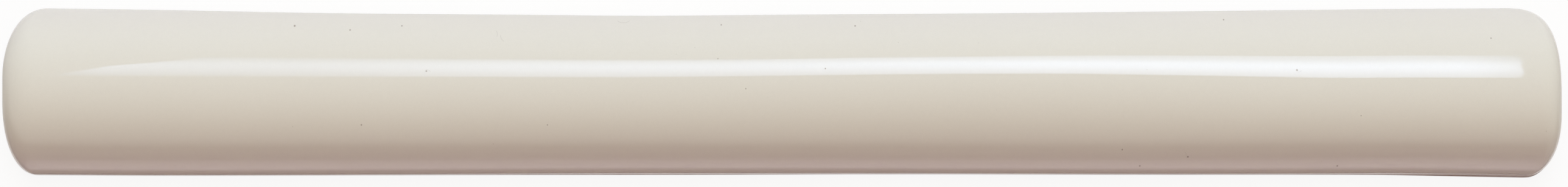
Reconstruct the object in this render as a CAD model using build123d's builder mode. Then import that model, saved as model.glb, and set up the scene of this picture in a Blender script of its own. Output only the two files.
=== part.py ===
"""Pencil liner tile: a half-round glazed ceramic trim strip with rolled ends and a keyed back.

The strip lies on its back along X. Its half-round face is up, Z is 0 at the back, and the
origin is the bottom centre of its outline. All lengths are in millimetres.
"""

import os
from math import cos, radians, sin, sqrt

from build123d import *

# Overall length, six inches
LENGTH = 152.4

# Straight foot between the back and the spring line of the half-round face
FOOT_HEIGHT = 2.6

# Rise of the face as a share of its half-width, which makes it a little flatter than round
FACE_RISE = 0.84

# Width over the right shoulder, where the strip is widest
WIDTH = 16.5

# The fired clay has drawn in between the ends and bowed. Each row gives a place along the
# strip, from -1 at the left shoulder to +1 at the right one, then how far the rear edge and
# the front edge sit in from the lines along the widest place.
DRAWN_IN = [
    (-1.0, 0.0, 0.2),
    (-0.61, 0.5, 0.22),
    (-0.19, 0.75, 0.25),
    (0.5, 0.33, 0.27),
    (0.8, 0.1, 0.25),
    (1.0, 0.0, 0.0),
]

# Corners of the ends, seen from above: quarter ellipses
CORNER_LENGTH = 4.0
CORNER_WIDTH = 6.2

# Roll of the crown over each end, seen from the side: a quarter ellipse
ROLL_LENGTH = 2.2
ROLL_DEPTH = 1.5

# Places where a section is taken through an end, from 0 at the end to 1 at the shoulder
END_PLACES = [0.8, 0.55, 0.3, 0.14, 0.05, 0.012, 0.0]

# Points that carry the curve of one section
SECTION_POINTS = 19

# Softened arris round the back
BACK_ARRIS = 0.4

# Drafted key grooves pressed into the back, which take the adhesive
KEY_COUNT = 4
KEY_PITCH = 2.8
KEY_WIDTH = 1.4
KEY_DEPTH = 0.6
KEY_DRAFT = 20.0
KEY_END_MARGIN = 9.0

# Extra depth that is built below the back and then trimmed off flat
TRIM = 1.0

# Where the corners start
SHOULDER_X = LENGTH / 2 - CORNER_LENGTH


def radius_and_centre(rear_in, front_in):
    """A section's half-width and the Y of its middle, from how far its edges are drawn in."""
    return (WIDTH - rear_in - front_in) / 2, (front_in - rear_in) / 2


def strip_section(place, rear_in, front_in):
    """One section across the strip: the flattened half-round face on its straight foot."""
    radius, centre = radius_and_centre(rear_in, front_in)
    with BuildSketch(Plane.YZ.offset(place * SHOULDER_X)) as section:
        with BuildLine():
            Polyline(
                (centre + radius, FOOT_HEIGHT),
                (centre + radius, -TRIM),
                (centre - radius, -TRIM),
                (centre - radius, FOOT_HEIGHT),
            )
            EllipticalCenterArc((centre, FOOT_HEIGHT), radius, radius * FACE_RISE, arc_size=180)
        make_face()
    return section.sketch


def quarter_ellipse(reach, depth, from_end):
    """How far a quarter ellipse has drawn in, at a distance from the end."""
    share = max(1 - from_end / reach, 0)
    return depth * (1 - sqrt(1 - share * share))


def end_section(place, rear_in, front_in, from_end):
    """One section across an end: a superellipse, squarer where it is slimmer, on the foot."""
    radius, centre = radius_and_centre(rear_in, front_in)
    width = radius - quarter_ellipse(CORNER_LENGTH, CORNER_WIDTH, from_end)
    height = radius * FACE_RISE - quarter_ellipse(ROLL_LENGTH, ROLL_DEPTH, from_end)
    power = 2 * height / (width * FACE_RISE)
    points = []
    for k in range(SECTION_POINTS):
        turn = radians(180 * k / (SECTION_POINTS - 1) - 90)
        across = abs(sin(turn)) ** (2 / power) * width
        up = abs(cos(turn)) ** (2 / power) * height
        points.append((centre + (across if turn > 0 else -across), FOOT_HEIGHT + up))
    with BuildSketch(Plane.YZ.offset(place * (LENGTH / 2 - from_end))) as section:
        with BuildLine():
            Polyline(points[-1], (centre + width, -TRIM), (centre - width, -TRIM), points[0])
            Spline(*points, tangents=[(0, 1), (0, -1)])
        make_face()
    return section.sketch


def rolled_end(place, rear_in, front_in):
    """The end beyond a shoulder: place is -1 at the left and +1 at the right."""
    sections = [strip_section(place, rear_in, front_in)]
    for share in END_PLACES:
        sections.append(end_section(place, rear_in, front_in, share * CORNER_LENGTH))
    with BuildPart() as end:
        loft(sections)
    return end.part


sections = [strip_section(*station) for station in DRAWN_IN]
left_end = rolled_end(*DRAWN_IN[0])
right_end = rolled_end(*DRAWN_IN[-1])

# Body lofted through the stations, with a rolled end at each shoulder
with BuildPart() as liner_tile:
    loft(sections)
    add(left_end)
    add(right_end)

    # The back is trimmed flat, and its arris is softened
    split(bisect_by=Plane.XY, keep=Keep.TOP)
    back = liner_tile.faces().sort_by(Axis.Z)[0]
    fillet(back.outer_wire().edges(), BACK_ARRIS)

    # Key grooves
    with BuildSketch(Plane.XY):
        with GridLocations(LENGTH, KEY_PITCH, 1, KEY_COUNT):
            SlotOverall(LENGTH - 2 * KEY_END_MARGIN, KEY_WIDTH)
    extrude(amount=KEY_DEPTH, taper=KEY_DRAFT, mode=Mode.SUBTRACT)

liner_tile.part.label = "liner_tile"

os.makedirs("parts", exist_ok=True)
export_step(liner_tile.part, "parts/liner_tile.step")

size = liner_tile.part.bounding_box().size
print(f"liner_tile {size.X:.2f} x {size.Y:.2f} x {size.Z:.2f} mm, {liner_tile.part.volume / 1000:.2f} cm3")
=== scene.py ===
# %% [markdown]
# # A glazed pencil liner tile
#
# A pencil liner is a slim ceramic trim tile. It draws a raised line across a tiled wall, or
# finishes its edge. Clay is pressed or extruded into a half-round strip, its ends are rolled
# over by hand, and the face is dipped in glaze and fired. The strip warps a little in the kiln,
# and that is what makes the highlight on a real one wander.
#
# This lesson builds one such tile in Blender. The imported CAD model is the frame: it says how
# big the tile is and where it lies. Each later cell adds one thing that the eye expects of the
# real tile: the warped outline, the rolled ends, the keyed back, the glaze and the light on it.

import math

import bmesh
import bpy
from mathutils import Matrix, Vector, noise


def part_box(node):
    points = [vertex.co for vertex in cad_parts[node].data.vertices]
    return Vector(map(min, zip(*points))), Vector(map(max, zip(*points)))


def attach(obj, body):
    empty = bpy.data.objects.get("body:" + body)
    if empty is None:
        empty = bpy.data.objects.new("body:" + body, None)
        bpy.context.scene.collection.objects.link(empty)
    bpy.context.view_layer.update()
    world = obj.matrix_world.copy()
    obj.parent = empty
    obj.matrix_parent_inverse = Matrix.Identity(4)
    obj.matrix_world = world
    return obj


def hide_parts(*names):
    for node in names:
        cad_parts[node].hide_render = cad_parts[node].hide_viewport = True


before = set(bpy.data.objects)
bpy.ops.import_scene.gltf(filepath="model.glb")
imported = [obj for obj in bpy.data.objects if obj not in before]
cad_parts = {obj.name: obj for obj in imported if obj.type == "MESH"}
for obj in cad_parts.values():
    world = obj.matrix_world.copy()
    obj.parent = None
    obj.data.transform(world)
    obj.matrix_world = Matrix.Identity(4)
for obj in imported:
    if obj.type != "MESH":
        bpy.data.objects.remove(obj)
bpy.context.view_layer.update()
low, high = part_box("liner_tile")
print("CAD box in mm:", [round(v * 1000, 2) for v in low], [round(v * 1000, 2) for v in high])

# %% [markdown]
# ## Sizes
#
# Everything here is in metres, as the frame is. A size in millimetres is written as a number
# times `MM`. Length, width and height come from the CAD box. The face is a half-round, and the
# height of the straight foot under it is what its largest radius leaves.

# %% Sizes
MM = 0.001
END_X = high.x
WIDTH = high.y - low.y
LARGEST_RADIUS = 8.3 * MM
FOOT = high.z - LARGEST_RADIUS
print("length", END_X * 2 / MM, "width", WIDTH / MM, "foot", round(FOOT / MM, 2))

# %% [markdown]
# ## The warped outline
#
# Drying and firing draw the strip in at its waist and bow its rear edge. A few rows say how
# far each edge sits in from a straight line, and a smooth curve runs through them. A curve with
# few rows stays fair, where a dense list of measured points would bring every wobble of the
# measuring with it.
#
# The axis of the face is straight all the same, and its radius hardly changes. So at the waist
# the rear side cuts the half-round off a little short of upright. Along the front the foot leans
# out from under the face, most of all near the right end, and shows from above as a thin lip.

# %% A smooth curve through a few rows
def smooth_through(rows):
    """A function of place that runs smoothly through (place, value) rows."""
    def value_at(place):
        place = min(max(place, rows[0][0]), rows[-1][0])
        span = 0
        while span < len(rows) - 2 and place > rows[span + 1][0]:
            span += 1
        (x0, y0), (x1, y1) = rows[span], rows[span + 1]
        before = rows[max(span - 1, 0)]
        after = rows[min(span + 2, len(rows) - 1)]
        slope0 = (y1 - before[1]) / (x1 - before[0])
        slope1 = (after[1] - y0) / (after[0] - x0)
        width = x1 - x0
        t = (place - x0) / width
        return (
            y0 * (1 + 2 * t) * (1 - t) ** 2
            + slope0 * width * t * (1 - t) ** 2
            + y1 * t * t * (3 - 2 * t)
            + slope1 * width * t * t * (t - 1)
        )
    return value_at


# %% How far each edge is drawn in, the lip and the radius of the face
SHOULDER = END_X - 4.0 * MM

rear_in = smooth_through([
    (-1.0, 0.0), (-0.84, 0.17), (-0.61, 0.49), (-0.36, 0.64), (-0.19, 0.74),
    (0.02, 0.63), (0.3, 0.49), (0.5, 0.34), (0.8, 0.1), (1.0, 0.0),
])
front_in = smooth_through([
    (-1.0, 0.22), (-0.84, 0.16), (-0.4, 0.23), (-0.1, 0.25), (0.14, 0.3),
    (0.5, 0.25), (0.8, 0.24), (0.9, 0.11), (1.0, -0.02),
])
lip_out = smooth_through([
    (-1.0, 0.03), (-0.5, 0.04), (-0.2, 0.1), (0.1, 0.06),
    (0.5, 0.04), (0.75, 0.07), (0.9, 0.19), (1.0, 0.22),
])
face_radius = smooth_through([
    (-1.0, 8.2), (-0.8, 8.22), (-0.5, 8.15), (-0.2, 8.04),
    (0.1, 8.06), (0.45, 8.15), (0.75, 8.24), (1.0, 8.3),
])


def section(x):
    """The section at x: the face's radius, the Y of its axis, and the angle of the rear cut."""
    place = x / SHOULDER
    radius = face_radius(place) * MM
    axis = -WIDTH / 2 + (front_in(place) + lip_out(place)) * MM + radius
    rear = WIDTH / 2 - rear_in(place) * MM
    return radius, axis, math.asin(min((rear - axis) / radius, 1.0))


for x in (-SHOULDER, 0.0, SHOULDER):
    radius, axis, cut = section(x)
    print("x", round(x / MM, 1), "radius", round(radius / MM, 2), end=" ")
    print("rear cut at", round(math.degrees(cut)), "degrees")

# %% [markdown]
# ## The face
#
# The face is a half-round, and two things keep it from being a perfect one. The crown leans a
# little to one side or the other along the strip, because soft clay sags as it is handled. The
# glaze also sets in long shallow waves. Neither is more than a fraction of a millimetre, but a
# glossy surface shows them at once, so both are in the mesh and not in a texture.

# %% The lean of the crown and the waves of the glaze
crown_lean = smooth_through([
    (-1.0, -0.05), (-0.65, -0.1), (-0.25, -0.12), (0.0, 0.02), (0.34, 0.2), (0.56, -0.1),
    (0.76, -0.45), (1.0, -0.4),
])

WAVE_HEIGHT = 0.014 * MM
WAVE_LENGTH = 16.0 * MM
WAVE_WIDTH = 7.0 * MM
WAVE_FADE = 0.5
WAVE_SEED = 3.7


def glaze_wave(x, girth):
    """How far the glaze stands proud at x, where girth is the distance round the section."""
    return WAVE_HEIGHT * noise.noise(Vector((x / WAVE_LENGTH, girth / WAVE_WIDTH, WAVE_SEED)))


# %% [markdown]
# ## The rolled ends
#
# Three things shape each end. Seen from above its corners are quarter ellipses, and by hand they
# never come out even, so each corner has its own reach along the strip and its own depth across
# it. A power above 2 makes a corner squarer than an ellipse. Seen from the side the face rolls
# over the end with a much tighter curve, which dies away towards the foot, and the wall below
# it leans in a little as it rises. Each says how far the surface stands back from the end.
# Adding corner and roll as powers lets the larger one win and still leaves no crease where they
# meet.

# %% Reach, depth and power of the corners, the roll and the lean of the wall
CORNER = {
    -1: {"rear": (4.3, 7.0, 2.1), "front": (3.5, 7.35, 2.2)},
    1: {"rear": (5.7, 9.3, 3.0), "front": (3.6, 6.1, 2.2)},
}
ROLL = {-1: (3.0, 1.7), 1: (1.9, 1.6)}
ROLL_FADE = 0.7
SOFTNESS = 1.6
WALL_LEAN = 0.1


def quarter(reach, depth, from_edge, power=2.0):
    """How far a quarter ellipse stands back, from_edge being the distance to the outside."""
    share = min(max(1 - from_edge / depth, 0.0), 1.0)
    return reach * (1 - (1 - share ** power) ** (1 / power))


def setback(end, from_middle, turn):
    """How far the surface stands back from the end, at a distance from the face's axis.

    turn is the angle round the face, from -90 degrees at the front over 0 at the crown."""
    radius, axis, cut = section(end * SHOULDER)
    upright = max(math.cos(turn), 0.0)
    reach, depth, power = CORNER[end]["rear" if turn > 0 else "front"]
    edge = radius * math.sin(cut) if turn > 0 else radius
    across = from_middle * abs(math.sin(turn))
    corner = quarter(reach * MM, depth * MM, edge - across, power)
    reach, depth = ROLL[end]
    roll = quarter(reach * MM, depth * MM, radius - from_middle) * upright ** ROLL_FADE
    lean = WALL_LEAN * from_middle * upright
    return (corner ** SOFTNESS + roll ** SOFTNESS) ** (1 / SOFTNESS) + lean


# %% [markdown]
# ## The mesh of the face
#
# The face is a grid. One direction goes round the half-round, from the front spring line over
# the crown to the rear one. The other goes along the strip: out of the middle of the left end,
# round its roll, down the length and the same again at the right. Building the grid straight
# from the sizes gives even quads, so reflections run cleanly over it. A subdivided or sculpted
# mesh would need far more faces for the same smoothness.

# %% Places along the strip
FLAT_STEPS = 4
ROLL_STEPS = 34
BODY_STEPS = 420
ROUND_STEPS = 76
ROLL_FROM = 6.6 * MM

steps = [("flat", -1, k / FLAT_STEPS) for k in range(FLAT_STEPS)]
steps += [("roll", -1, 90 * k / ROLL_STEPS) for k in range(ROLL_STEPS)]
steps += [("body", 0, k / BODY_STEPS) for k in range(BODY_STEPS)]
steps += [("roll", 1, 90 * (1 - k / ROLL_STEPS)) for k in range(ROLL_STEPS)]
steps += [("flat", 1, 1 - k / FLAT_STEPS) for k in range(FLAT_STEPS + 1)]
print(len(steps), "places along the strip,", ROUND_STEPS + 1, "points round the face")


def face_point(step, share):
    """The point of the face at one place along the strip.

    share runs round the face, from -1 at the front edge over 0 at the crown to 1 at the rear."""
    kind, end, amount = step
    if kind == "body":
        turns = {side: math.radians(90) * share for side in (-1, 1)}
        if share > 0:
            turns = {side: section(side * SHOULDER)[2] * share for side in (-1, 1)}
        left = -END_X + setback(-1, section(-SHOULDER)[0], turns[-1])
        right = END_X - setback(1, section(SHOULDER)[0], turns[1])
        x = left + (right - left) * amount
        radius, axis, cut = section(x)
        shrunk = radius
    else:
        radius, axis, cut = section(end * SHOULDER)
        flat = radius - ROLL_FROM
        if kind == "roll":
            shrunk = flat + ROLL_FROM * math.sin(math.radians(amount))
        else:
            shrunk = flat * amount
    turn = share * (cut if share > 0 else math.radians(90))
    if kind != "body":
        x = end * (END_X - setback(end, shrunk, turn))
    fullness = shrunk / radius
    upright = max(math.cos(turn), 0.0)
    lean = crown_lean(x / SHOULDER) * MM * math.sin(turn) * upright ** 2
    wave = glaze_wave(x, turn * radius) * upright ** WAVE_FADE
    across = math.sin(turn) * (shrunk + wave * fullness)
    up = upright * (shrunk + wave * fullness) + lean * fullness
    return Vector((x, axis + across, FOOT + up))


# %% The grid of the face
mesh = bmesh.new()
shares = [2 * k / ROUND_STEPS - 1 for k in range(ROUND_STEPS + 1)]
grid = []
for step in steps:
    if step[0] == "flat" and step[2] == 0:
        pole = mesh.verts.new((step[1] * END_X, section(step[1] * SHOULDER)[1], FOOT))
        grid.append([pole] * len(shares))
    else:
        grid.append([mesh.verts.new(face_point(step, share)) for share in shares])

for here, there in zip(grid, grid[1:]):
    for k in range(ROUND_STEPS):
        corners = []
        for vert in (here[k], there[k], there[k + 1], here[k + 1]):
            if vert not in corners:
                corners.append(vert)
        mesh.faces.new(corners)
print(len(mesh.faces), "faces on the face")

# %% [markdown]
# ## The foot and its arris
#
# Under the face the sides drop to the back, and the bottom edge is softened by a small arris so
# that it doesn't chip. The foot follows the outline of the face all the way round, ends
# included, so it is made as one closed skirt: each row of the skirt is the outline, moved along
# its own sideways normal. The lip along the front is part of that move.

# %% The outline, all the way round
ARRIS = 0.4 * MM
ARRIS_STEPS = 5
SIDE_STEPS = 6
LIP_BEND = 0.7
LIP_TO_FRONT = 4

rear_line = [row[-1] for row in grid]
front_line = [row[0] for row in grid]
outline = rear_line + front_line[-2:0:-1]
outline_at = [v.co.copy() for v in outline]

outward = []
lean_out = []
for k in range(len(outline_at)):
    along = outline_at[(k + 1) % len(outline_at)] - outline_at[k - 1]
    outward.append(Vector((-along.y, along.x, 0)).normalized())
    to_front = max(-outward[-1].y, 0.0) ** LIP_TO_FRONT
    lean_out.append(lip_out(outline_at[k].x / SHOULDER) * MM * to_front)
print(len(outline), "points round the outline")

# %% The skirt
rows = [(k / SIDE_STEPS, 0) for k in range(1, SIDE_STEPS + 1)]
rows += [(1, 90 * k / ARRIS_STEPS) for k in range(1, ARRIS_STEPS + 1)]

above = outline
for down, bend in rows:
    inset = ARRIS * (1 - math.cos(math.radians(bend)))
    below = []
    for at, normal, lean in zip(outline_at, outward, lean_out):
        place = at + normal * (lean * down ** LIP_BEND - inset)
        place.z = at.z + (ARRIS - at.z) * down - ARRIS * math.sin(math.radians(bend))
        below.append(mesh.verts.new(place))
    for k in range(len(outline)):
        after = (k + 1) % len(outline)
        mesh.faces.new((above[k], above[after], below[after], below[k]))
    above = below
back_rim = above
back_rim_at = [v.co.copy() for v in back_rim]

# %% [markdown]
# ## The keyed back
#
# The back is flat, with shallow grooves that the adhesive grips. They are pressed in by the
# mould, so their walls lean out for release and their lips are soft. The flat is filled as one
# sheet with four slot-shaped holes, and each groove is then a stack of slot outlines that gets
# smaller as it gets deeper. That keeps the lips exact, where cutting the grooves with another
# solid would leave splinters along them.

# %% One groove
KEY_COUNT = 4
KEY_PITCH = 2.8 * MM
KEY_WIDTH = 1.4 * MM
KEY_DEPTH = 0.6 * MM
KEY_END_X = END_X - 9.0 * MM
KEY_DRAFT = math.radians(20)
LIP = 0.1 * MM
END_STEPS = 10

# Each ring's inset from the slot's outline, and its depth
key_bottom_inset = KEY_DEPTH * math.tan(KEY_DRAFT)
key_rings = [
    (-LIP, 0.0),
    (-LIP * 0.4, LIP * 0.2),
    (0.0, LIP * 0.7),
    (key_bottom_inset * 0.82, KEY_DEPTH * 0.86),
    (key_bottom_inset + LIP * 0.3, KEY_DEPTH * 0.97),
    (key_bottom_inset + LIP * 1.2, KEY_DEPTH),
]


def slot_ring(middle_y, inset, depth):
    """The slot's outline at one depth, as new vertices in order."""
    half = KEY_WIDTH / 2
    reach = KEY_END_X - half
    ring = []
    for side in (1, -1):
        for k in range(END_STEPS + 1):
            angle = math.radians(90 - 180 * k / END_STEPS)
            x = side * (reach + (half - inset) * math.cos(angle))
            y = middle_y + side * (half - inset) * math.sin(angle)
            ring.append(mesh.verts.new((x, y, depth)))
    return ring


# %% All the grooves and the flat between them
mouths = []
for k in range(KEY_COUNT):
    middle_y = (k - (KEY_COUNT - 1) / 2) * KEY_PITCH
    outer = slot_ring(middle_y, *key_rings[0])
    mouths.append(outer)
    for inset, depth in key_rings[1:]:
        inner = slot_ring(middle_y, inset, depth)
        for j in range(len(outer)):
            after = (j + 1) % len(outer)
            mesh.faces.new((outer[j], outer[after], inner[after], inner[j]))
        outer = inner
    mesh.faces.new(outer)

rim_edges = []
for loop in [back_rim] + mouths:
    for j in range(len(loop)):
        pair = (loop[j], loop[(j + 1) % len(loop)])
        rim_edges.append(mesh.edges.get(pair) or mesh.edges.new(pair))
bmesh.ops.triangle_fill(mesh, use_beauty=True, edges=rim_edges)
bmesh.ops.recalc_face_normals(mesh, faces=mesh.faces)
print(len(mesh.faces), "faces on the whole tile")

# %% The tile as an object
SHARP_FROM = math.radians(35)

body_mesh = bpy.data.meshes.new("glazed_tile")
mesh.to_mesh(body_mesh)
mesh.free()
body_mesh.shade_smooth()
body_mesh.set_sharp_from_angle(angle=SHARP_FROM)
tile = bpy.data.objects.new("glazed_tile", body_mesh)
bpy.context.scene.collection.objects.link(tile)
triangles = sum(len(face.vertices) - 2 for face in body_mesh.polygons)
print(triangles, "triangles")

# %% [markdown]
# ## Writing shader maths
#
# A procedural finish is mostly arithmetic on numbers that change over the surface. `Value`
# wraps one socket, so that `1 - mask` or `height * 0.2` adds the Math node itself. Every other
# kind of node comes from `Finish.node`, which takes the node's type, its settings and its
# inputs. Colours go through Mix, because a Math node would turn them grey.

# %% Numbers as sockets
class Value:
    """One socket that holds a number, with arithmetic that adds Math nodes."""

    def __init__(self, finish, socket):
        self.finish = finish
        self.socket = socket

    def maths(self, operation, *others):
        made = self.finish.node("ShaderNodeMath", {"operation": operation}, self, *others)
        return Value(self.finish, made.outputs[0])

    def __add__(self, other):
        return self.maths("ADD", other)

    def __sub__(self, other):
        return self.maths("SUBTRACT", other)

    def __rsub__(self, other):
        return (self * -1) + other

    def __mul__(self, other):
        return self.maths("MULTIPLY", other)

    __radd__ = __add__
    __rmul__ = __mul__

    def most(self, other):
        return self.maths("MAXIMUM", other)

    def rise(self, start, end):
        """0 below start, 1 above end, and a soft step between them."""
        settings = {"interpolation_type": "SMOOTHSTEP"}
        made = self.finish.node("ShaderNodeMapRange", settings, self, start, end, 0.0, 1.0)
        return Value(self.finish, made.outputs[0])


# %% A finish and its nodes
class Finish:
    """A material, or the world, that is built one node at a time."""

    def __init__(self, owner):
        self.owner = owner
        owner.use_nodes = True
        self.tree = owner.node_tree
        self.shader = self.tree.nodes.get("Principled BSDF")

    def node(self, kind, settings=None, *inputs, **named):
        """Adds a node. inputs fill its sockets in order, named ones by their socket's name."""
        made = self.tree.nodes.new(kind)
        for setting, value in (settings or {}).items():
            setattr(made, setting, value)
        for place, value in list(enumerate(inputs)) + list(named.items()):
            self.feed(made.inputs[place], value)
        return made

    def feed(self, socket, value):
        """Links a socket, or sets its value."""
        if isinstance(value, Value):
            value = value.socket
        if isinstance(value, bpy.types.NodeSocket):
            self.tree.links.new(value, socket)
        elif value is not None:
            socket.default_value = value

    def noise(self, place, scale, detail, roughness=0.5):
        """Soft noise between 0 and 1. scale is in lumps for each metre."""
        sizes = {"Scale": scale, "Detail": detail, "Roughness": roughness}
        made = self.node("ShaderNodeTexNoise", None, place, **sizes)
        return Value(self, made.outputs["Fac"])

    def blend(self, share, first, second):
        """Mixes two colours by a share."""
        made = self.node("ShaderNodeMix", {"data_type": "RGBA"})
        self.feed(made.inputs[0], share)
        self.feed(made.inputs[6], first)
        self.feed(made.inputs[7], second)
        return made.outputs[2]

    def show(self, shader, output):
        """Sends a shader to the output node."""
        self.feed(self.tree.nodes[output].inputs["Surface"], shader.outputs[0])


# %% [markdown]
# ## The glaze and the bare clay
#
# The face carries an opaque bone-coloured glaze, which is coloured glass: a flat body colour
# under a clear sharp gloss. The glaze stops just above the back, and the clay there is bare,
# matt and a shade darker. One material does both. A mask of height says where the glaze ends,
# and the colour, the roughness and the relief all follow it.

# %% The finish, and where the glaze stops
GLAZE_COLOUR = (0.690, 0.655, 0.575, 1)
CLAY_COLOUR = (0.450, 0.380, 0.320, 1)
GLAZE_LINE = 1.0 * MM
GLAZE_LINE_DRIFT = 0.35 * MM
GLAZE_LINE_SCALE = 260.0
GLAZE_EDGE = 0.07 * MM

finish = Finish(bpy.data.materials.new("glaze_on_clay"))
position = finish.node("ShaderNodeTexCoord").outputs["Object"]
axes = finish.node("ShaderNodeSeparateXYZ", None, position)
height = Value(finish, axes.outputs["Z"])
line_drift = finish.noise(position, GLAZE_LINE_SCALE, 3.0) - 0.5
line_height = line_drift * (2 * GLAZE_LINE_DRIFT) + GLAZE_LINE
glazed = (height - line_height).rise(-GLAZE_EDGE, GLAZE_EDGE)

# %% [markdown]
# ## Colour
#
# No fired glaze is one flat colour. It clouds softly over a few centimetres, it has a fine
# mottle where the pigment has settled, and under that a grain too fine to name. All three stay
# within a few percent here, as on the real tile. Each is one noise, and the three are added up
# to one tone, which moves the colour between a darker and a lighter one.

# %% Clouds, mottle and grain in the glaze
# Lumps for each metre, detail, and how far the noise moves the tone
CLOUDS = (70.0, 2.0, 0.05)
MOTTLE = (2600.0, 2.0, 0.06)
FINE_GRAIN = (11000.0, 1.0, 0.12)
GLAZE_SPREAD = 0.2


def shade(colour, share):
    """The colour, made darker or lighter."""
    return tuple(v * share for v in colour[:3]) + (1,)


glaze_tone = 0.0
for scale, detail, amount in (CLOUDS, MOTTLE, FINE_GRAIN):
    glaze_tone = (finish.noise(position, scale, detail) - 0.5) * amount + glaze_tone
darker_glaze = shade(GLAZE_COLOUR, 1 - GLAZE_SPREAD)
lighter_glaze = shade(GLAZE_COLOUR, 1 + GLAZE_SPREAD)
glaze_colour = finish.blend(glaze_tone + 0.5, darker_glaze, lighter_glaze)

# %% The clay's colour
GRIT_SCALE = 1500.0
CLAY_SHADE = 0.82

grit = finish.noise(position, GRIT_SCALE, 4.0, 0.65)
clay_colour = finish.blend(grit, shade(CLAY_COLOUR, CLAY_SHADE), CLAY_COLOUR)

# %% [markdown]
# ## Marks of the firing
#
# Gas that leaves the clay late makes pinholes in the glaze: tiny round pits with a brown bottom.
# The few larger ones are placed one by one. The rest are as fine as dust, and a Voronoi texture
# scatters them: it marks the surface only where it runs close by one of its points. A fibre or a
# scratch leaves a curl, a short piece of a ring. A ring is where the distance from a centre is
# near one value, and a disc round the middle of the piece cuts the rest of it off.

# %% Pinholes
# Millimetres along the tile and across it, and the radius of the pit
PINHOLES = [
    (-47.3, 6.5, 0.13), (-41.9, 6.1, 0.1), (-36.9, 6.5, 0.09), (-34.4, 2.1, 0.1),
    (-40.7, -3.1, 0.1), (-22.7, -3.1, 0.08), (-6.2, 3.3, 0.07), (-5.9, 6.6, 0.09),
    (-3.5, 0.4, 0.08), (4.2, 2.35, 0.08), (7.1, 6.5, 0.1), (33.0, -5.5, 0.1),
    (34.8, -7.1, 0.11), (39.4, -6.2, 0.12), (42.9, 7.1, 0.09), (49.8, 2.2, 0.1),
    (54.0, -7.1, 0.11), (56.0, -2.2, 0.07), (68.7, 5.3, 0.09),
]
PINHOLE_BOTTOM = 0.45
DUST_SCALE = 420.0
DUST_RADIUS = 0.045 * MM
DUST_BOTTOM = 0.4

flatten = {"operation": "MULTIPLY"}
from_above = finish.node("ShaderNodeVectorMath", flatten, position, (1, 1, 0)).outputs[0]


def distance_from(x, y):
    """The distance from a point of the face, seen from above."""
    measure = {"operation": "DISTANCE"}
    made = finish.node("ShaderNodeVectorMath", measure, from_above, (x * MM, y * MM, 0))
    return Value(finish, made.outputs["Value"])


scattered = finish.node("ShaderNodeTexVoronoi", None, position, Scale=DUST_SCALE)
to_dust = Value(finish, scattered.outputs["Distance"])
pits = 1 - to_dust.rise(DUST_RADIUS * DUST_SCALE * DUST_BOTTOM, DUST_RADIUS * DUST_SCALE)
for x, y, radius in PINHOLES:
    pit = 1 - distance_from(x, y).rise(radius * PINHOLE_BOTTOM * MM, radius * MM)
    pits = pits.most(pit)

# %% Curls
# Millimetres along and across, the way to the ring's centre in degrees, the ring's radius, and
# half the length of the piece
CURLS = [
    (-15.4, 6.8, 90, 0.95, 0.7),
    (-27.6, 5.75, 190, 0.5, 0.35),
    (-27.2, 5.25, 30, 0.6, 0.4),
    (-34.2, 2.2, 250, 0.45, 0.3),
    (39.2, -5.9, 200, 0.35, 0.25),
    (50.1, 2.05, 120, 0.3, 0.2),
]
CURL_HALF_WIDTH = 0.032 * MM
CURL_TAPER = 0.8

curls = 0.0
for x, y, bent_towards, radius, half_length in CURLS:
    angle = math.radians(bent_towards)
    from_centre = distance_from(x + radius * math.cos(angle), y + radius * math.sin(angle))
    off_ring = (from_centre - radius * MM).maths("ABSOLUTE")
    piece = 1 - distance_from(x, y).rise(half_length * CURL_TAPER * MM, half_length * MM)
    curls = (1 - off_ring.rise(0.0, CURL_HALF_WIDTH)) * piece + curls

# %% The marks in the colour
PIT_COLOUR = (0.16, 0.10, 0.06, 1)
PIT_SHARE = 0.6
CURL_SHARE = 0.28

marks = (pits * PIT_SHARE + curls * CURL_SHARE) * glazed
marked_glaze = finish.blend(marks, glaze_colour, PIT_COLOUR)
finish.feed(finish.shader.inputs["Base Color"], finish.blend(glazed, clay_colour, marked_glaze))

# %% [markdown]
# ## Gloss and relief
#
# Fired glaze is as smooth as window glass, so a highlight on it has crisp edges. The relief of
# its surface is a tenth of a micron here, and even that makes the edge of the highlight tremble a
# little. The bare clay is rough, and lies lower than the glaze by the glaze's thickness.

# %% Gloss
GLAZE_ROUGHNESS = 0.012
CLAY_ROUGHNESS = 0.82
GLAZE_IOR = 1.5

roughness = glazed * (GLAZE_ROUGHNESS - CLAY_ROUGHNESS) + CLAY_ROUGHNESS
finish.feed(finish.shader.inputs["Roughness"], roughness)
finish.shader.inputs["IOR"].default_value = GLAZE_IOR

# %% Relief, in millimetres
PEEL_SCALE = 700.0
PEEL_HEIGHT = 0.0001
GRIT_HEIGHT = 0.05
GLAZE_THICKNESS = 0.09
PIT_DEPTH = 0.015

peel = finish.noise(position, PEEL_SCALE, 1.0) * glazed * PEEL_HEIGHT
grain = (grit - 0.5) * (1 - glazed) * GRIT_HEIGHT
step_up = glazed * GLAZE_THICKNESS
relief = (peel + grain + step_up - pits * PIT_DEPTH) * MM
bump = finish.node("ShaderNodeBump", None, Strength=1.0, Distance=1.0, Height=relief)
finish.feed(finish.shader.inputs["Normal"], bump.outputs[0])
body_mesh.materials.append(finish.owner)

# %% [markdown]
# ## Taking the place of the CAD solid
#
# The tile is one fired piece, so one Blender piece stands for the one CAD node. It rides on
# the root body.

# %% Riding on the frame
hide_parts("liner_tile")
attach(tile, "root")
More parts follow.
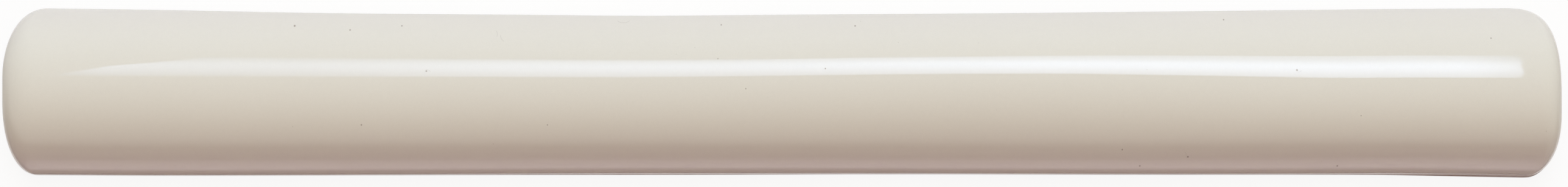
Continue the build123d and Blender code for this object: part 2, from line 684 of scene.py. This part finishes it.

# %% [markdown]
# ## The floor
#
# The photograph has a pure white ground. The floor is white to the camera, and a part of its
# real shading is kept, so that the tile still rests on its own shadow. In the gloss of the glaze
# the floor is white by a smaller share, because there its shading shows plainly. The face
# mirrors a narrow stretch of it along the front, and there the floor's look in the gloss is
# painted: first a painted shadow at the foot, which darkens the last half millimetre, then a
# painted bright strip, and beyond that and past the ends a ground painted dimmer.
#
# The keyed back can be looked at too. The floor lies a hair below the tile, it can't be seen from
# underneath, and a hole in it, as large as the back, lets the light from below reach the clay.

# %% The sheet of the floor, with the hole under the tile
FLOOR_HALF = 9.0
FLOOR_Z = -0.02 * MM

sheet = bmesh.new()
sides = [(-1, -1), (1, -1), (1, 1), (-1, 1)]
sheet_rim = [sheet.verts.new((x * FLOOR_HALF, y * FLOOR_HALF, FLOOR_Z)) for x, y in sides]
hole_rim = [sheet.verts.new((at.x, at.y, FLOOR_Z)) for at in back_rim_at]
sheet_edges = []
for loop in (sheet_rim, hole_rim):
    for j in range(len(loop)):
        sheet_edges.append(sheet.edges.new((loop[j], loop[(j + 1) % len(loop)])))
bmesh.ops.triangle_fill(sheet, use_beauty=True, edges=sheet_edges, normal=(0, 0, 1))
for face in sheet.faces:
    face.normal_update()
    if face.normal.z < 0:
        face.normal_flip()
print(len(sheet.faces), "triangles in the floor")

floor_mesh = bpy.data.meshes.new("floor")
sheet.to_mesh(floor_mesh)
sheet.free()
floor = bpy.data.objects.new("floor", floor_mesh)
bpy.context.scene.collection.objects.link(floor)

# %% What the gloss sees of the floor
WHITE = (1, 1, 1, 1)
FRONT = low.y
FRONT_FADE = 0.5 * MM
# Where and in what colours the floor's look in the gloss is painted: a painted shadow along the
# foot, a painted bright strip beyond it, and a ground painted dimmer further out and past the
# ends.
STRIP_NEAR = (FRONT - 4.5 * MM, FRONT - 1.8 * MM)
STRIP_FAR = (FRONT - 22.0 * MM, FRONT - 7.0 * MM)
STRIP_ENDS = (END_X - 4.0 * MM, END_X + 3.0 * MM)
PAINTED_STRIP_WHITE = (1.5, 1.38, 1.38, 1)
PAINTED_FAR_GREY = (0.15, 0.14, 0.12, 1)
PAINTED_SHADOW_GREY = (0.06, 0.06, 0.06, 1)

paper = Finish(bpy.data.materials.new("white_ground"))
ground = paper.node("ShaderNodeTexCoord").outputs["Object"]
ground = paper.node("ShaderNodeSeparateXYZ", None, ground)
ground_x = Value(paper, ground.outputs["X"]).maths("ABSOLUTE")
ground_y = Value(paper, ground.outputs["Y"])
# Masks of the painted shadow at the foot and the painted bright strip, which only the gloss sees.
in_front = 1 - ground_y.rise(FRONT - FRONT_FADE, FRONT)
past_painted_shadow = 1 - ground_y.rise(*STRIP_NEAR)
past_strip = (1 - ground_y.rise(*STRIP_FAR)).most(ground_x.rise(*STRIP_ENDS))
painted_strip_ground = paper.blend(past_strip, PAINTED_STRIP_WHITE, PAINTED_FAR_GREY)
painted_front_ground = paper.blend(past_painted_shadow, PAINTED_SHADOW_GREY, painted_strip_ground)
painted_gloss_ground = paper.blend(in_front, WHITE, painted_front_ground)

# %% The floor's material
FLOOR_COLOUR = (0.85, 0.81, 0.79, 1)
FLOOR_ROUGHNESS = 0.9
WHITE_SHARE = 0.9
WHITE_SHARE_IN_GLOSS = 0.5

paper.shader.inputs["Base Color"].default_value = FLOOR_COLOUR
paper.shader.inputs["Roughness"].default_value = FLOOR_ROUGHNESS
paper.shader.inputs["Specular IOR Level"].default_value = 0.0
rays = paper.node("ShaderNodeLightPath")
camera_ray = Value(paper, rays.outputs["Is Camera Ray"])
gloss_ray = Value(paper, rays.outputs["Is Glossy Ray"]) + rays.outputs["Is Transmission Ray"]
white_share = camera_ray * WHITE_SHARE + gloss_ray * WHITE_SHARE_IN_GLOSS
white_seen = paper.blend(camera_ray, painted_gloss_ground, WHITE)
white = paper.node("ShaderNodeEmission", None, white_seen, 1.0)
shown = paper.node("ShaderNodeMixShader", None, white_share)
paper.feed(shown.inputs[1], paper.shader.outputs[0])
paper.feed(shown.inputs[2], white.outputs[0])
from_below = paper.node("ShaderNodeNewGeometry").outputs["Backfacing"]
one_sided = paper.node("ShaderNodeMixShader", None, from_below)
paper.feed(one_sided.inputs[1], shown.outputs[0])
paper.feed(one_sided.inputs[2], paper.node("ShaderNodeBsdfTransparent").outputs[0])
paper.show(one_sided, "Material Output")
floor_mesh.materials.append(paper.owner)

# %% [markdown]
# ## The room
#
# The room is seen in two ways. To the camera and in the gloss it is plain white. Only the gloss
# meets a grey patch in it, low down at the front and the left, which draws the dark line along
# the front of the tile. The body colour under the gloss is lit more softly, by a few broad
# lights that have no edge: a warm one high at the rear, a cool one lower behind it, and weak
# ones at the front and the right. Each is a lobe, brightest in one direction and fading all
# round it. One more shines upward from below the floor, and lights only the back.

# %% The broad lights
ROOM_LIGHTS = [
    ((0.0, 0.6, 1.0), 10, (5.42, 5.25, 2.85)),
    ((0.0, 1.0, 0.8), 10, (0.45, 0.66, 2.93)),
    ((0.0, -1.0, 0.6), 10, (1.19, 0.59, 0.88)),
    ((1.0, 0.0, 0.8), 6, (0.51, 0.55, 0.53)),
    ((0.0, 0.0, -1.0), 1, (1.5, 1.5, 1.5)),
]

room = Finish(bpy.data.worlds.new("room"))
bpy.context.scene.world = room.owner
towards = room.node("ShaderNodeTexCoord").outputs["Generated"]
soft_light = (0.0, 0.0, 0.0)
for direction, sharpness, colour in ROOM_LIGHTS:
    direction = Vector(direction).normalized()
    facing = room.node("ShaderNodeVectorMath", {"operation": "DOT_PRODUCT"}, towards, direction)
    lobe = Value(room, facing.outputs["Value"]).most(0.0).maths("POWER", sharpness)
    part = room.node("ShaderNodeVectorMath", {"operation": "SCALE"}, colour, Scale=lobe)
    added = room.node("ShaderNodeVectorMath", {"operation": "ADD"}, soft_light, part.outputs[0])
    soft_light = added.outputs[0]

# %% What the camera and the gloss see of the room
LOW_GREY = (0.2, 0.2, 0.2, 1)
LOW_ACROSS = (0.1, 0.7)
LOW_UP = (0.05, 0.4)
TO_FRONT = -0.9
TO_LEFT = -0.45

axes_out = room.node("ShaderNodeSeparateXYZ", None, towards)
across_out = Value(room, axes_out.outputs["Y"]) * TO_FRONT
across_out = across_out + Value(room, axes_out.outputs["X"]) * TO_LEFT
up_out = Value(room, axes_out.outputs["Z"])
low_front = across_out.rise(*LOW_ACROSS) * (1 - up_out.rise(*LOW_UP))

rays = room.node("ShaderNodeLightPath")
camera_ray = Value(room, rays.outputs["Is Camera Ray"])
gloss_ray = Value(room, rays.outputs["Is Glossy Ray"]) + rays.outputs["Is Transmission Ray"]
seen = room.blend(low_front * gloss_ray, WHITE, LOW_GREY)
lit = room.node("ShaderNodeBackground", None, soft_light, 1.0)
white = room.node("ShaderNodeBackground", None, seen, 1.0)
shown = room.node("ShaderNodeMixShader", None, camera_ray + gloss_ray)
room.feed(shown.inputs[1], lit.outputs[0])
room.feed(shown.inputs[2], white.outputs[0])
room.show(shown, "World Output")

# %% [markdown]
# ## The softbox
#
# A softbox is never evenly bright: the lamp behind its cloth makes a hot patch, and the light
# falls off towards the edges. The cloth here is one flat sheet with its own axes, X along the
# tile and Y away from it, and its light is a product of two profiles in those axes. Its far
# side falls away to the left, as where a stand or a flap hides a corner, so the highlight on the
# tile thins out there.

# %% The sheet
BOX_DISTANCE = 2.0
BOX_TILT = math.radians(33.2)
BOX_NEAR = -0.41
BOX_RIGHT_LINE = [(0.2555, BOX_NEAR), (0.2562, 0.1), (0.266, 0.585)]
BOX_FAR_LINE = [(0.145, 0.575), (0.09, 0.55), (0.035, 0.5), (-0.05, 0.425), (-0.12, 0.45)]
BOX_LEFT_LINE = [
    (-0.197, 0.48), (-0.203, 0.37), (-0.219, 0.27),
    (-0.24, 0.06), (-0.257, -0.24), (-0.267, BOX_NEAR),
]

box_mesh = bpy.data.meshes.new("softbox")
box_points = [(x, y, 0.0) for x, y in BOX_RIGHT_LINE + BOX_FAR_LINE + BOX_LEFT_LINE]
box_mesh.from_pydata(box_points, [], [tuple(range(len(box_points)))])
softbox = bpy.data.objects.new("softbox", box_mesh)
softbox.location = (0, BOX_DISTANCE * math.sin(BOX_TILT), BOX_DISTANCE * math.cos(BOX_TILT))
softbox.rotation_euler = (-BOX_TILT, 0, 0)
softbox.visible_camera = False
bpy.context.scene.collection.objects.link(softbox)

# %% Its light
BOX_STRENGTH = 7.3
BOX_COLOUR = (0.84, 1.0, 1.31, 1)
BLACK = (0, 0, 0, 1)
HOT_NEAR = -0.6
HOT_Y = 0.09
HOT_FAR = 0.53
EVEN_SHARE = 0.47

# Where along the cloth its light rises, and by how much, then where it falls
LEFT_RISES = [(-0.31, -0.235, 0.52), (-0.2, 0.1, 0.48)]
RIGHT_FALL = (0.225, 0.285, 0.5)

glow = Finish(bpy.data.materials.new("softbox_cloth"))
cloth = glow.node("ShaderNodeTexCoord").outputs["Object"]
cloth = glow.node("ShaderNodeSeparateXYZ", None, cloth)
along = Value(glow, cloth.outputs["X"])
across = Value(glow, cloth.outputs["Y"])
hot = across.rise(HOT_NEAR, HOT_Y) * (1 - across.rise(HOT_Y, HOT_FAR))
across_light = hot * (1 - EVEN_SHARE) + EVEN_SHARE
along_light = 0.0
for start, end, amount in LEFT_RISES:
    along_light = along.rise(start, end) * amount + along_light
start, end, amount = RIGHT_FALL
along_light = along_light - along.rise(start, end) * amount
glow_colour = glow.blend(across_light * along_light, BLACK, BOX_COLOUR)
glow_out = glow.node("ShaderNodeEmission", None, glow_colour, BOX_STRENGTH)
glow.show(glow_out, "Material Output")
box_mesh.materials.append(glow.owner)

# %% [markdown]
# ## Camera
#
# The camera looks straight down, with a long lens. The photograph's frame is 2576 by 307
# pixels, and the tile spans nearly all of it, so the distance follows from the tile's length.

# %% Looking straight down
PHOTO_WIDTH = 2576
PHOTO_HEIGHT = 307
TILE_LEFT_PX = 3.6
TILE_RIGHT_PX = 2565.8
TILE_MIDDLE_PX = (1284.7, 152.5)
LENS = 180.0
SENSOR = 36.0

pixel = 2 * END_X / (TILE_RIGHT_PX - TILE_LEFT_PX)
view_width = PHOTO_WIDTH * pixel
distance = view_width * LENS / SENSOR
camera_data = bpy.data.cameras.new("camera")
camera_data.lens = LENS
camera_data.sensor_width = SENSOR
camera = bpy.data.objects.new("camera", camera_data)
camera.location = (
    (PHOTO_WIDTH / 2 - TILE_MIDDLE_PX[0]) * pixel,
    (TILE_MIDDLE_PX[1] - PHOTO_HEIGHT / 2) * pixel,
    distance + FOOT,
)
bpy.context.scene.collection.objects.link(camera)
bpy.context.scene.camera = camera
bpy.context.scene.view_settings.view_transform = "Standard"
print("camera height", round(camera.location.z, 3), "m, one pixel is", round(pixel / MM, 4), "mm")
